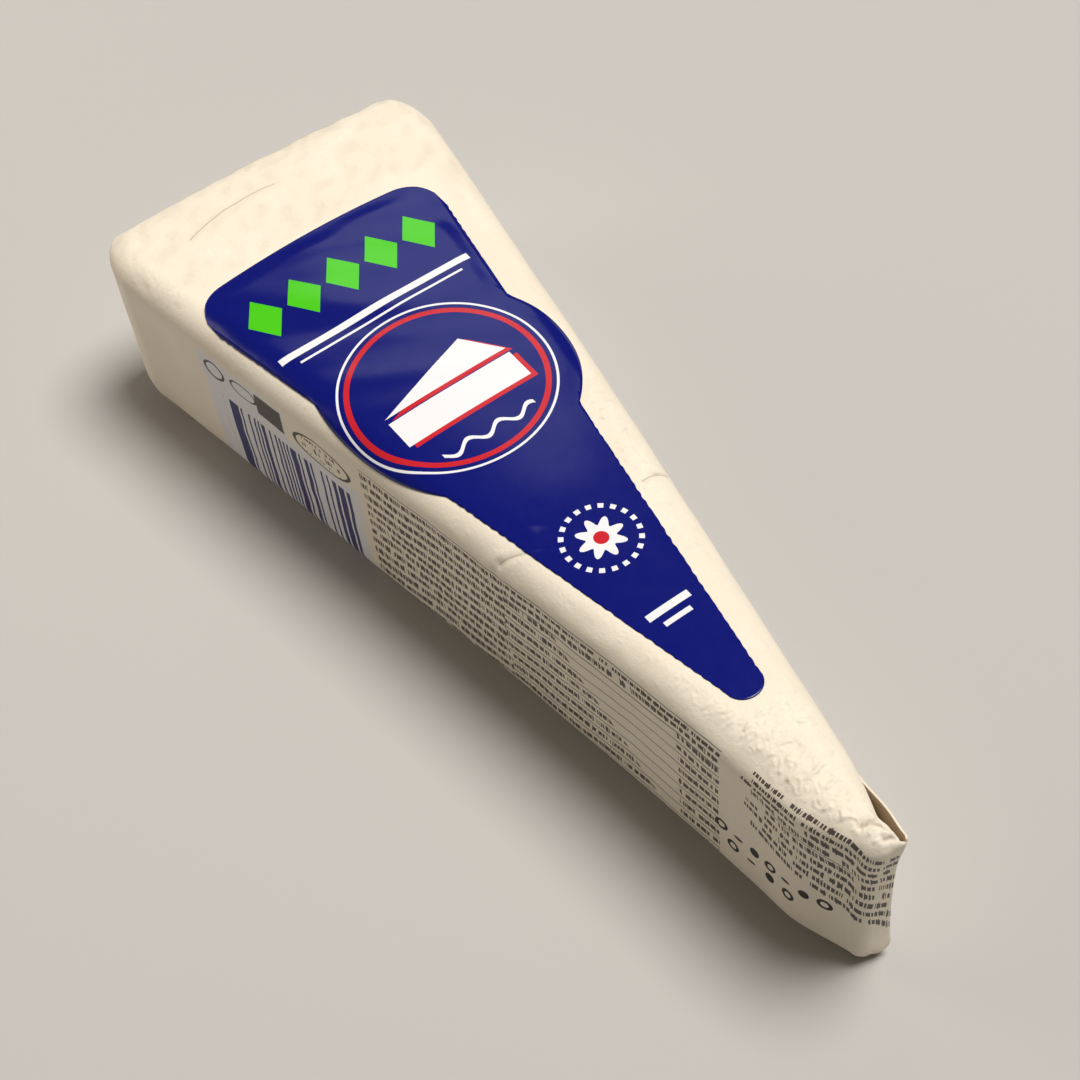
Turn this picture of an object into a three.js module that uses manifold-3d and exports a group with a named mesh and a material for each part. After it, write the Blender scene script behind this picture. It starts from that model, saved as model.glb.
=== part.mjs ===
// Wedge of soft white cheese, shut in folded paper, with a film label on its top face.
// Millimetres, +Z up, origin under the middle of the pack. The tip points along +X, the rind
// end is at -X, and the side that carries the bar code faces -Y.
import * as THREE from "three";
import { mergeVertices } from "three/addons/utils/BufferGeometryUtils.js";
import Module from "manifold-3d";

// Driving dimensions of the wrapped wedge
const LENGTH = 164; // rind end to tip
const WIDTH = 59.8; // widest, just before the rounded rind end
const HEIGHT = 34.3; // table to the middle of the top
const TIP_WIDTH = 4.8; // blunt end under the paper
const RIND_SAGITTA = 0.9; // the rind end is an arc of the whole wheel
const TOP_CROWN = 0.7; // the middle of the top stands above its edges
const FAR_BULGE = 0.8; // the +Y side stands out at mid-length
const NEAR_BULGE = 2.7; // the bar code side stands out where it turns to the tip
const NEAR_BULGE_TO_TIP = 14.5; // from that turn to the tip
const NEAR_BULGE_POWER = 6; // how late that side starts to stand out
const BASE_RISE = 0.7; // the base lifts off the table under the tip
const TIP_PINCH = 1.9; // the tip's edge is hollow between top and base
const TIP_PINCH_LEVEL = 12.5;
const TIP_PINCH_SPREAD = 9;
const TIP_LENGTH = 35; // stretch that the rise, the pinch and the sharper top edge act on
const TUCK = 2.2; // the +Y edge turns in beside the tip, clear of the folded paper
const TUCK_LENGTH = 16;

// Rounded edges, as radii along the length, across the width and up the height
const RIND_END_RADIUS = 10.5;
const TIP_END_RADIUS = 2.4;
const TIP_BASE_RADIUS = 4.4;
const SIDE_RADIUS = 4.5;
const TOP_RADIUS = 4.5;
const TIP_TOP_RADIUS = 2.2; // the top edge sharpens towards the tip
const BASE_RADIUS = 5.5;
const MOST_OF_HALF_WIDTH = 0.8; // the side radius shrinks with the wedge towards the tip

// Grid that is wrapped on the wedge
const EDGE_STEPS = 4;
const LENGTH_STEPS = 54;
const WIDTH_STEPS = 18;
const HEIGHT_STEPS = 13;

// Paper turned round the tip: it comes from the bar code side and runs back along the other one
const FLAP_LENGTH = 38;
const FLAP_THICKNESS = 0.7;
const FLAP_STAND_OFF = 0.3; // beyond the line of the side
const FLAP_BASE = 4;
const FLAP_REAR_TOP = 28.6;
const FLAP_TIP_TOP = 32.3;
const FLAP_FOLD = 0.87; // share of its length at the fold by the far corner of the tip
const FLAP_END_DROP = 5; // how far its top falls from that fold to its end
const FLAP_STEPS = 56;
const FLAP_RISE_STEPS = 8;

// Paper turned down over the rind end, on top of the two corner pleats
const FOLD_THICKNESS = 0.5;
const FOLD_TOP_SHARE = 0.9; // share of the width that it covers at the top
const FOLD_BASE_SHARE = 0.5;
const FOLD_DEPTH = 12; // how far the cutting prism reaches into the pack

// Paper lapped over and sealed under the base, a flat panel that the pack rests on
const LAP_THICKNESS = 0.4;
const LAP_REAR = -64;
const LAP_FRONT = 44;
const LAP_REAR_HALF_WIDTH = 20;
const LAP_FRONT_HALF_WIDTH = 4.5;
const LAP_ROOT = 1; // how far the panel runs up into the pack

// Film label, on its own axis, which runs slightly askew of the wedge's
const LABEL_THICKNESS = 0.35;
const LABEL_GAP = 0.12;
const LABEL_ASKEW = THREE.MathUtils.degToRad(1.4);
const LABEL_SHIFT = -1.3; // across the width, at mid-length
const LABEL_REAR = -58;
const LABEL_REAR_ARC = 1.4; // the rear edge follows the rind
const LABEL_HALF_WIDTH = 12.5; // at mid-length
const LABEL_TAPER = 0.1865; // half-width lost for each millimetre towards the tip
const LABEL_CORNER = 6.5;
const LABEL_TIP_END = 54.3;
const LABEL_TIP_RADIUS = 2.9;
const MEDALLION_X = -16.9;
const MEDALLION_Y = -0.5;
const MEDALLION_RADIUS = 20.2;
const NEAR_ARC_X = -19.9; // its near arc looks flatter from above, because the film bends down there
const NEAR_ARC_Y = 18.95;
const NEAR_ARC_RADIUS = 36.8;
const LABEL_DROP = 6; // the film reaches less far than this down the rounded near edge

const wasm = await Module();
wasm.setup();

// A geometry as a solid that can be joined and cut.
function solidOf(geometry) {
  const bare = geometry.clone();
  bare.deleteAttribute("normal");
  bare.deleteAttribute("uv");
  const merged = mergeVertices(bare, 1e-4);
  return new wasm.Manifold(
    new wasm.Mesh({
      numProp: 3,
      vertProperties: merged.attributes.position.array,
      triVerts: new Uint32Array(merged.index.array),
    }),
  );
}

// A solid back as a geometry.
function geometryOf(solid) {
  const { vertProperties, triVerts } = solid.getMesh();
  const geometry = new THREE.BufferGeometry();
  geometry.setAttribute("position", new THREE.BufferAttribute(vertProperties, 3));
  geometry.setIndex(new THREE.BufferAttribute(triVerts, 1));
  geometry.computeVertexNormals();
  return geometry;
}

const { lerp, clamp } = THREE.MathUtils;

// Half-width of the wedge at a distance from the rind end, without its bulges.
function halfWidth(distance) {
  const taper = (distance - RIND_END_RADIUS) / (LENGTH - RIND_END_RADIUS);
  return lerp(WIDTH / 2, TIP_WIDTH / 2, clamp(taper, 0, 1));
}

// How far the two sides stand out from the straight wedge.
function farBulge(distance) {
  const share = clamp((distance - RIND_END_RADIUS) / (LENGTH - RIND_END_RADIUS), 0, 1);
  return 4 * FAR_BULGE * share * (1 - share);
}

function nearBulge(distance) {
  const before = Math.pow(distance / (LENGTH - NEAR_BULGE_TO_TIP), NEAR_BULGE_POWER);
  const after = (LENGTH - distance) / NEAR_BULGE_TO_TIP;
  return NEAR_BULGE * Math.min(before, after);
}

// How far the tip's edge is drawn back at a height.
function tipPinch(distance, z) {
  const toTip = clamp((distance - LENGTH + TIP_LENGTH) / TIP_LENGTH, 0, 1);
  return TIP_PINCH * Math.pow(toTip, 4) * Math.exp(-(((z - TIP_PINCH_LEVEL) / TIP_PINCH_SPREAD) ** 2));
}

// Grid line as a place in the low rounded edge (below 0), the flat middle (0) or the high edge.
function zone(index, count) {
  if (index < EDGE_STEPS) return { edge: index / EDGE_STEPS - 1, middle: 0 };
  if (index > count - EDGE_STEPS) return { edge: 1 - (count - index) / EDGE_STEPS, middle: 1 };
  return { edge: 0, middle: (index - EDGE_STEPS) / (count - 2 * EDGE_STEPS) };
}

// The place on the wedge of a point on the segmented box.
function wedgePoint(along, across, up) {
  const tipRadius = lerp(TIP_END_RADIUS, TIP_BASE_RADIUS, clamp(-up.edge, 0, 1));
  const endRadius = along.edge < 0 ? RIND_END_RADIUS : tipRadius;
  const edgeTop = HEIGHT - TOP_CROWN;
  const inset = lerp(RIND_END_RADIUS, LENGTH - tipRadius, along.middle);
  const intoTip = clamp((inset - LENGTH + TIP_LENGTH) / TIP_LENGTH, 0, 1);
  const topRadius = lerp(TOP_RADIUS, TIP_TOP_RADIUS, intoTip * intoTip);
  const levelRadius = up.edge < 0 ? BASE_RADIUS : topRadius;
  const half = halfWidth(inset);
  const sideRadius = Math.min(SIDE_RADIUS, MOST_OF_HALF_WIDTH * half);
  const flat = half - sideRadius;
  const reach = Math.hypot(along.edge, across.edge, up.edge) || 1;
  let distance = inset + (endRadius * along.edge) / reach;
  let y = lerp(-flat, flat, across.middle) + (sideRadius * across.edge) / reach;
  const lowest = LAP_THICKNESS + BASE_RADIUS;
  let z = lerp(lowest, edgeTop - topRadius, up.middle) + (levelRadius * up.edge) / reach;

  const level = clamp((z - LAP_THICKNESS) / (edgeTop - LAP_THICKNESS), 0, 1);
  const offAxis = clamp(y / half, -1, 1);
  const nearRind = Math.pow(clamp(1 - inset / (LENGTH / 4), 0, 1), 2);
  const tuck = clamp((inset - LENGTH + TUCK_LENGTH) / TUCK_LENGTH, 0, 1);
  distance += RIND_SAGITTA * offAxis * offAxis * nearRind;
  y -= nearBulge(inset) * clamp(-offAxis, 0, 1);
  y += (farBulge(inset) - TUCK * Math.pow(tuck, 1.5)) * clamp(offAxis, 0, 1);
  z += TOP_CROWN * (1 - offAxis * offAxis) * Math.pow(level, 4);
  const toTip = clamp((distance - LENGTH + TIP_LENGTH) / TIP_LENGTH, 0, 1);
  z += BASE_RISE * toTip * toTip * (1 - level);
  distance -= tipPinch(distance, z);
  return new THREE.Vector3(distance - LENGTH / 2, y, z);
}

// The wedge's skin, moved outwards by a lift.
function wedgeGeometry(lift) {
  const box = new THREE.BoxGeometry(1, 1, 1, LENGTH_STEPS, WIDTH_STEPS, HEIGHT_STEPS);
  box.deleteAttribute("normal");
  box.deleteAttribute("uv");
  const geometry = mergeVertices(box, 1e-4);
  const corner = new THREE.Vector3();
  const place = geometry.attributes.position;
  const line = (coordinate, count) => zone(Math.round((coordinate + 0.5) * count), count);
  for (let i = 0; i < place.count; i++) {
    corner.fromBufferAttribute(place, i);
    const point = wedgePoint(
      line(corner.x, LENGTH_STEPS),
      line(corner.y, WIDTH_STEPS),
      line(corner.z, HEIGHT_STEPS),
    );
    place.setXYZ(i, point.x, point.y, point.z);
  }
  geometry.computeVertexNormals();
  const outward = geometry.attributes.normal;
  for (let i = 0; i < place.count; i++) {
    place.setXYZ(
      i,
      place.getX(i) + lift * outward.getX(i),
      place.getY(i) + lift * outward.getY(i),
      place.getZ(i) + lift * outward.getZ(i),
    );
  }
  return geometry;
}

// Paper round the tip, as a strip on edge that leaves a pocket between itself and the tucked side.
function flapGeometry() {
  const onSide = (toTip, off) => {
    const side = halfWidth(LENGTH - toTip) + farBulge(LENGTH - toTip);
    return new THREE.Vector3(LENGTH / 2 - toTip, side + off, 0);
  };
  const end = LENGTH / 2 - FLAP_THICKNESS / 2;
  const path = new THREE.CatmullRomCurve3([
    onSide(FLAP_LENGTH, 0),
    onSide(1.5 * TUCK_LENGTH, 0),
    onSide(TUCK_LENGTH, 0),
    onSide(TUCK_LENGTH / 2, FLAP_STAND_OFF / 2),
    onSide(TIP_END_RADIUS, FLAP_STAND_OFF / 2),
    new THREE.Vector3(end - 1.4 * FLAP_THICKNESS, TIP_WIDTH / 2, 0),
    new THREE.Vector3(end - 0.4 * FLAP_THICKNESS, 0.85 * (TIP_WIDTH / 2), 0),
    new THREE.Vector3(end, TIP_WIDTH / 4, 0),
    new THREE.Vector3(end, 0, 0),
    new THREE.Vector3(end - FLAP_THICKNESS / 2, -TIP_WIDTH / 4, 0),
    new THREE.Vector3(LENGTH / 2 - TIP_END_RADIUS, -0.45 * TIP_WIDTH, 0),
  ]);
  const strip = new THREE.BoxGeometry(1, 1, 1, FLAP_STEPS, 1, FLAP_RISE_STEPS);
  const place = strip.attributes.position;
  for (let i = 0; i < place.count; i++) {
    const share = place.getX(i) + 0.5;
    const point = path.getPointAt(share);
    const ahead = path.getTangentAt(share);
    const off = FLAP_THICKNESS * place.getY(i);
    const pastFold = clamp((share - FLAP_FOLD) / (1 - FLAP_FOLD), 0, 1);
    const top = lerp(FLAP_REAR_TOP, FLAP_TIP_TOP, Math.min(1, 1.4 * share)) - FLAP_END_DROP * pastFold;
    const z = lerp(FLAP_BASE, top, place.getZ(i) + 0.5);
    const x = point.x - ahead.y * off;
    place.setXYZ(i, x - tipPinch(x + LENGTH / 2, z), point.y + ahead.x * off, z);
  }
  return strip;
}

// Prism over the part of the rind end that the turned-down paper covers.
function rindFoldGeometry() {
  const topHalf = (WIDTH / 2) * FOLD_TOP_SHARE;
  const baseHalf = (WIDTH / 2) * FOLD_BASE_SHARE;
  const topLine = HEIGHT - TOP_RADIUS;
  const outline = new THREE.Shape();
  outline.moveTo(-baseHalf, BASE_RADIUS);
  outline.lineTo(baseHalf, BASE_RADIUS);
  outline.lineTo(topHalf, topLine);
  outline.lineTo(-topHalf, topLine);
  const prism = new THREE.ExtrudeGeometry(outline, { depth: FOLD_DEPTH, bevelEnabled: false });
  prism.rotateX(Math.PI / 2);
  prism.rotateZ(Math.PI / 2);
  return prism.translate(-LENGTH / 2 - FOLD_THICKNESS, 0, 0);
}

// Panel of lapped paper under the base.
function lapGeometry() {
  const outline = new THREE.Shape();
  outline.moveTo(LAP_REAR, -LAP_REAR_HALF_WIDTH);
  outline.lineTo(LAP_FRONT, -LAP_FRONT_HALF_WIDTH);
  outline.lineTo(LAP_FRONT, LAP_FRONT_HALF_WIDTH);
  outline.lineTo(LAP_REAR, LAP_REAR_HALF_WIDTH);
  return new THREE.ExtrudeGeometry(outline, { depth: LAP_THICKNESS + LAP_ROOT, bevelEnabled: false });
}

// Outline of the label: a rounded wedge with a round medallion that stands out on both sides.
function labelOutline() {
  const half = (x) => LABEL_HALF_WIDTH - LABEL_TAPER * x;
  const slope = Math.atan(LABEL_TAPER);
  const rear = LABEL_REAR + LABEL_REAR_ARC;
  const cornerX = LABEL_REAR + LABEL_CORNER;
  const cornerY = half(LABEL_REAR) - LABEL_CORNER;
  const tipX = LABEL_TIP_END - LABEL_TIP_RADIUS;

  // Angles on an arc of the medallion where a straight side, +1 or -1, runs in and out
  const meet = (side, x, y, radius) => {
    const distance = (half(x) - side * y) * Math.cos(slope);
    const spread = Math.acos(distance / radius);
    const square = Math.PI / 2 - slope;
    return { rear: side * (square + spread), front: side * (square - spread) };
  };
  const far = meet(1, MEDALLION_X, MEDALLION_Y, MEDALLION_RADIUS);
  const near = meet(-1, NEAR_ARC_X, NEAR_ARC_Y, NEAR_ARC_RADIUS);
  const outline = new THREE.Shape();
  outline.moveTo(rear, cornerY);
  outline.quadraticCurveTo(rear, half(LABEL_REAR), cornerX, half(cornerX));
  outline.absarc(MEDALLION_X, MEDALLION_Y, MEDALLION_RADIUS, far.rear, far.front, true);
  outline.absarc(tipX, 0, LABEL_TIP_RADIUS, Math.PI / 2 - slope, slope - Math.PI / 2, true);
  outline.absarc(NEAR_ARC_X, NEAR_ARC_Y, NEAR_ARC_RADIUS, near.front, near.rear, true);
  outline.lineTo(cornerX, -half(cornerX));
  outline.quadraticCurveTo(rear, -half(LABEL_REAR), rear, -cornerY);
  outline.quadraticCurveTo(LABEL_REAR - LABEL_REAR_ARC, 0, rear, cornerY);
  return outline;
}

// Prism that cuts the label out of a skin over the top.
function labelPrism() {
  const prism = new THREE.ExtrudeGeometry(labelOutline(), {
    depth: 2 * LABEL_DROP,
    bevelEnabled: false,
    curveSegments: 16,
  });
  prism.rotateZ(LABEL_ASKEW);
  return prism.translate(0, LABEL_SHIFT, HEIGHT - LABEL_DROP);
}

function mesh(name, geometry, color, roughness) {
  const material = new THREE.MeshStandardMaterial({ color, roughness, metalness: 0 });
  const made = new THREE.Mesh(geometry, material);
  made.name = name;
  return made;
}

function wrappedWedge() {
  const wedge = solidOf(wedgeGeometry(0));
  const flap = solidOf(flapGeometry());
  const rindFold = solidOf(wedgeGeometry(FOLD_THICKNESS)).intersect(solidOf(rindFoldGeometry()));
  const pack = wedge.add(flap).add(rindFold).add(solidOf(lapGeometry()));
  return mesh("wrapped_wedge", geometryOf(pack), 0xf3e6cd, 0.7);
}

function topLabel() {
  const outside = solidOf(wedgeGeometry(LABEL_GAP + LABEL_THICKNESS));
  const inside = solidOf(wedgeGeometry(LABEL_GAP));
  const film = solidOf(labelPrism()).intersect(outside).subtract(inside);
  return mesh("top_label", geometryOf(film), 0x20267a, 0.3);
}

const labelledPack = new THREE.Group();
labelledPack.add(wrappedWedge(), topLabel());
labelledPack.position.x = FOLD_THICKNESS / 2;

export default labelledPack;
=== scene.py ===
import math

import bmesh
import bpy
from mathutils import Matrix, Vector, noise
from mathutils.bvhtree import BVHTree


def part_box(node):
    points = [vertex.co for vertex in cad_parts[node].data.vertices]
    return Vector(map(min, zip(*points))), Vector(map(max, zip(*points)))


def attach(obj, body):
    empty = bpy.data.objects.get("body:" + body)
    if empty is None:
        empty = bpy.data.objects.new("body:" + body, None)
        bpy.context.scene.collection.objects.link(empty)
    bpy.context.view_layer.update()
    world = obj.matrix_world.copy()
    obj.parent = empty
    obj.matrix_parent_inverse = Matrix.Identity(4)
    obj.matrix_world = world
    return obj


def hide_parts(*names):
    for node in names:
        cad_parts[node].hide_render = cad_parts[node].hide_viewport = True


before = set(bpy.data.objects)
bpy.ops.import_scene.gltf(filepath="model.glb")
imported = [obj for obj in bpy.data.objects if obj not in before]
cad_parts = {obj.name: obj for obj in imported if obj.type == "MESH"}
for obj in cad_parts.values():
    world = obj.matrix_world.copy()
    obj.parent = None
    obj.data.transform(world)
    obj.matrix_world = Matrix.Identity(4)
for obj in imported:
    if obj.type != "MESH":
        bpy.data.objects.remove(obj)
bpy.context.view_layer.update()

# Wrapping paper
# One sheet of waxed cream paper, shut tight round a wedge of soft cheese that rounds every edge. It is a
# finely divided box, wrapped point by point on the wedge, then dimpled, crinkled and creased.
MM = 0.001  # the sizes below are in millimetres, and a mesh is scaled by this when it is finished
LOW, HIGH = (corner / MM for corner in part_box("wrapped_wedge"))
FOLD_THICKNESS = 0.5
RIND_X = LOW.x + FOLD_THICKNESS
LENGTH = HIGH.x - RIND_X
HEIGHT = HIGH.z
HALF_WIDTH = HIGH.y
TIP_HALF_WIDTH = 2.4
BASE_LEVEL = 0.4
RIND_END_RADIUS = 10.5
TIP_END_RADIUS = 2.4
TIP_BASE_RADIUS = 2.6
TIP_CORNER_POWER = 6  # the far corner of the tip is nearly square
TIP_FOOT_POWER = 4  # and so is its foot
SIDE_RADIUS = 4.5
SIDE_RADIUS_SHARE = 0.8  # of the half width, at most
TOP_RADIUS = 4.5
TIP_TOP_RADIUS = 2.2
BASE_RADIUS = 5.5
TIP_FOOT_RADIUS = 3.8
RIND_SAGITTA = 0.9
RIND_CURVE_SHARE = 0.25  # of the length, where the curve of the rind has run out
TOP_CROWN = 0.7
FAR_BULGE = 0.8
NEAR_BULGE = 2.45
NEAR_BULGE_TO_TIP = 11
NEAR_BULGE_POWER = 6
NEAR_BULGE_TURN = 8  # the higher, the tighter the turn at its peak
BASE_RISE = 0.55
TIP_PINCH = 1.75
TIP_PINCH_LEVEL = 15
TIP_PINCH_SPREAD = 14
TIP_LENGTH = 35
TUCK = 2.9
TUCK_LENGTH = 16
TUCK_POWER = 1.5
LIP_LENGTH = 2.2 * TIP_END_RADIUS
LIP_SHARE = 0.5  # how far the tuck has eased again where the tip is rounded
LIP_END = 0.6  # share of the rounded end where the lip turns out to the corner
LIP_TOP_LAG = 0.5  # how much later it does so at the top
EDGE_STRETCH = 1.7  # the print lies closer together over the rounded edge
PAPER_GRID = (380, 80, 38)  # faces along, across and up
PAPER_EDGES = (14, 13, 9)  # of which each rounded edge takes so many
TIP_CROWDING = 0.08  # how much closer together the faces lie towards the tip


def between(low, value, high):
    return min(max(value, low), high)


def blend(low, high, share):
    return low + (high - low) * share


def ramp(start, end, value):
    """0 before start, 1 after end and an even rise between."""
    return between(0, (value - start) / (end - start), 1)


def ease(start, end, value):
    """0 before start, 1 after end and a smooth rise between."""
    share = ramp(start, end, value)
    return share * share * (3 - 2 * share)


def taper(distance):
    """0 behind the rounded rind end, rising evenly to 1 at the end of the tip."""
    return ramp(RIND_END_RADIUS, LENGTH, distance)


def into_tip(distance):
    """0 before the tip, rising evenly to 1 at its end."""
    return ramp(LENGTH - TIP_LENGTH, LENGTH, distance)


def half_width(distance):
    return blend(HALF_WIDTH, TIP_HALF_WIDTH, taper(distance))


def side_radius(half):
    return min(SIDE_RADIUS, SIDE_RADIUS_SHARE * half)


def far_bulge(distance):
    share = taper(distance)
    return 4 * FAR_BULGE * share * (1 - share)


def near_bulge(distance):
    """The smaller of a slow rise and a steep fall to the tip, with a soft turn between."""
    rise = (distance / (LENGTH - NEAR_BULGE_TO_TIP)) ** NEAR_BULGE_POWER
    fall = (LENGTH - distance) / NEAR_BULGE_TO_TIP
    return NEAR_BULGE * (rise**-NEAR_BULGE_TURN + fall**-NEAR_BULGE_TURN) ** (-1 / NEAR_BULGE_TURN)


def tip_pinch(distance, z):
    """How far the edge of the tip is drawn in between its top corner and its foot."""
    off_level = (z - TIP_PINCH_LEVEL) / TIP_PINCH_SPREAD
    return TIP_PINCH * into_tip(distance) ** 4 * math.exp(-(off_level**4))


def zone(value, axis):
    """A box coordinate as a place in its low rounded edge, the flat middle or its high rounded edge."""
    edge = PAPER_EDGES[axis] / PAPER_GRID[axis]
    if value < edge:
        return value / edge - 1, 0
    if value > 1 - edge:
        return 1 - (1 - value) / edge, 1
    return 0, (value - edge) / (1 - 2 * edge)


def tuck_at(inset, along, up):
    """How far the far side is tucked in near the tip, from 0 to 1, easing at the lip of the pocket."""
    tuck = ramp(LENGTH - TUCK_LENGTH, LENGTH, inset) ** TUCK_POWER
    tuck *= 1 - LIP_SHARE * ease(LENGTH - LIP_LENGTH, LENGTH - TIP_END_RADIUS, inset)
    return tuck * (1 - ease(LIP_END, 1, along * (1 - LIP_TOP_LAG * max(up, 0))))


def wedge_point(box_point):
    """A point of the box wrapped on the wedge, and how much further it lies on the sheet, round the tip and
    up, than it does along the pack and above the table."""
    (along, inset_share), (across, side_share), (up, level_share) = (
        zone(box_point[axis] + 0.5, axis) for axis in range(3)
    )
    tip_radius = blend(TIP_END_RADIUS, TIP_BASE_RADIUS, max(0, -up))
    end_radius = RIND_END_RADIUS if along < 0 else tip_radius
    edge_top = HEIGHT - TOP_CROWN
    crowded = inset_share + TIP_CROWDING * math.sin(math.pi * inset_share)
    inset = blend(RIND_END_RADIUS, LENGTH - tip_radius, crowded)
    top_radius = blend(TOP_RADIUS, TIP_TOP_RADIUS, into_tip(inset) ** 2)
    base_radius = blend(BASE_RADIUS, TIP_FOOT_RADIUS, into_tip(inset) ** 2)
    level_radius = base_radius if up < 0 else top_radius
    half = half_width(inset)
    edge_radius = side_radius(half)
    flat = half - edge_radius
    spread = math.hypot(along, across)
    if along > 0 and across > 0:
        spread = (along**TIP_CORNER_POWER + across**TIP_CORNER_POWER) ** (1 / TIP_CORNER_POWER)
    power = blend(2, TIP_FOOT_POWER, along * side_share) if along > 0 > up else 2
    reach = (spread**power + abs(up) ** power) ** (1 / power) or 1
    distance = inset + end_radius * along / reach
    y = blend(-flat, flat, side_share) + edge_radius * across / reach
    z = blend(BASE_LEVEL + base_radius, edge_top - top_radius, level_share) + level_radius * up / reach

    round_tip, over_edge = 0, 0
    if along > 0:
        turn = math.atan2(along, max(-across, 0))
        round_tip = tip_radius * (turn - math.sin(turn))
        round_tip += 2 * flat * side_share + edge_radius * max(across, 0)
    if up > 0:
        turn = math.atan2(up, max(along, -across, 0))
        over_edge = top_radius * (EDGE_STRETCH * turn - math.sin(turn)) + 2 * flat * side_share

    level = ramp(BASE_LEVEL, edge_top, z)
    off_axis = between(-1, y / half, 1)
    near_rind = (1 - ramp(0, RIND_CURVE_SHARE * LENGTH, inset)) ** 2
    distance += RIND_SAGITTA * off_axis**2 * near_rind
    if off_axis < 0:
        y += near_bulge(inset) * off_axis
    else:
        y += (far_bulge(inset) - TUCK * tuck_at(inset, along, up)) * off_axis
    z += TOP_CROWN * (1 - off_axis**2) * level**4
    z += BASE_RISE * into_tip(distance) ** 2 * (1 - level)
    distance -= tip_pinch(distance, z)
    return Vector((RIND_X + distance, y, z)), Vector((round_tip, 0, over_edge))


# The label's outline is known here already, because the paper lies smooth under it.
LABEL_ASKEW = math.radians(1.4)
LABEL_ORIGIN = Vector((RIND_X + LENGTH / 2, -1.3))
LABEL_REAR = -58
LABEL_REAR_ARC = 1.4
LABEL_HALF_WIDTH = 12.5
LABEL_TAPER = 0.1865
LABEL_TIP_END = 54.3
LABEL_TIP_RADIUS = 2.9
MEDALLION = Vector((-16.9, -0.5))
MEDALLION_RADIUS = 20.2
NEAR_ARC = Vector((-19.9, 18.4))  # centre of the flatter arc on its near side, which is bent over the edge
NEAR_ARC_RADIUS = 36.8
LABEL_MARGIN = (0.2, 2.2)  # off the label, the paper is smooth to the first and free past the second


def label_place(x, y):
    """Where a point of the pack lies along and across the label."""
    turned = Matrix.Rotation(-LABEL_ASKEW, 2) @ (Vector((x, y)) - LABEL_ORIGIN)
    return turned.x, turned.y


def label_half(along, across):
    """Half the width of the label, on the side of its middle line where across lies."""
    side = math.copysign(1, across)
    straight = LABEL_HALF_WIDTH - LABEL_TAPER * along
    centre, radius = (MEDALLION, MEDALLION_RADIUS) if side > 0 else (NEAR_ARC, NEAR_ARC_RADIUS)
    bulge = radius**2 - (along - centre.x) ** 2
    if bulge <= 0:
        return straight
    return max(straight, math.sqrt(bulge) + side * centre.y)


def clear_of_label(x, y):
    """0 under the label, rising to 1 a little way off its edge."""
    along, across = label_place(x, y)
    over = abs(across) - label_half(along, across)
    return ease(*LABEL_MARGIN, max(over, LABEL_REAR - along, along - LABEL_TIP_END))


def crease(depth, reach, *points):
    """A sharp crease: its depth, its reach to either side and the points that it follows."""
    return depth, reach, [Vector(point) for point in points]


CREASES = (
    crease(0.15, 1.2, (-69.0, -17.6, 34), (-71.0, -12.0, 34), (-71.7, -6.0, 34), (-71.4, -0.3, 34)),
    crease(0.14, 0.5, (14.0, -13.8, 31.8), (14.9, -12.4, 33.1), (15.8, -10.9, 33.8)),
    crease(0.15, 0.7, (14.0, -13.8, 31.8), (13.0, -15.0, 28.0)),
    crease(0.25, 0.45, (15.9, 9.9, 33.7), (15.5, 12.6, 33.2), (15.7, 14.6, 31.0)),
    crease(0.28, 0.45, (77.6, -1.7, 34.2), (78.0, -0.5, 34.4), (78.6, 0.1, 34.4), (79.6, 0.8, 33.9)),
    crease(0.22, 0.4, (80.8, -0.5, 34.0), (81.0, 0.4, 33.9), (81.3, 1.0, 33.5)),
    crease(0.3, 0.8, (-82.0, -25.0, 30.0), (-82.0, -14.0, 5.0)),
    crease(0.3, 0.8, (-82.0, 25.0, 30.0), (-82.0, 14.0, 5.0)),
)
LONGEST_CREASE = 40
CREASE_END = 4  # reaches, past which the paper is flat again
CREASE_RIM, CREASE_RIM_AT = 0.35, 2  # how high it rises beside a crease, as a share of the depth, and where
CREASE_SHADE_RATE = 1.6  # steep creases get more painted shade
CREASE_SHADE_SHARE = 0.7  # of the reach, how wide the painted shade is


def gap_to_line(point, start, end):
    line = end - start
    share = between(0, (point - start).dot(line) / line.length_squared, 1)
    return (point - start - share * line).length


def hump(value):
    return math.exp(-(value**2))


def crease_at(point):
    """How far creases sink the paper at a point, and how much shade is painted in them there."""
    sink, painted_shade = 0, 0
    for depth, reach, points in CREASES:
        if (points[0] - point).length > LONGEST_CREASE:
            continue
        gap = min(gap_to_line(point, a, b) for a, b in zip(points, points[1:]))
        if gap < CREASE_END * reach:
            rim = CREASE_RIM * hump(gap / reach - CREASE_RIM_AT)
            sink += depth * (hump(gap / reach) - rim)
            steep = min(1, CREASE_SHADE_RATE * depth / reach)
            painted_shade = max(painted_shade, steep * hump(gap / (CREASE_SHADE_SHARE * reach)))
    return sink, painted_shade


# Unevenness of the sheet as layers of soft noise, each with its height, size and seed
SHEET_WAVES = ((0.16, 24, 3.1),)
SIDE_WAVES = ((0.16, 11, 7.7), (0.04, 4.5, 1.3))
TOP_WAVES = ((0.07, 5, 9.1),)
EDGE_LUMPS = ((0.2, 6, 1.9), (0.06, 2.6, 5.5))
CRINKLE_LUMPS = ((0.16, 3.8, 3.7), (0.07, 1.7, 6.3))
DIMPLE_SWAY = ((3, 6, 5.2),)
FEATHER_MIX = ((1, 6, 4.4),)


def uneven(point, layers):
    total = 0
    for height, size, seed in layers:
        total += height * noise.noise(point / size + Vector((seed, 2 * seed, 3 * seed)))
    return total


FEATHERS = ((0.5, 2.2), (-0.65, 8.8))  # turn and seed of the two ways that fine crinkles run
FEATHER_WIDTH, FEATHER_LENGTH = 1.3, 7
FEATHER_HEIGHT = 0.11


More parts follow.
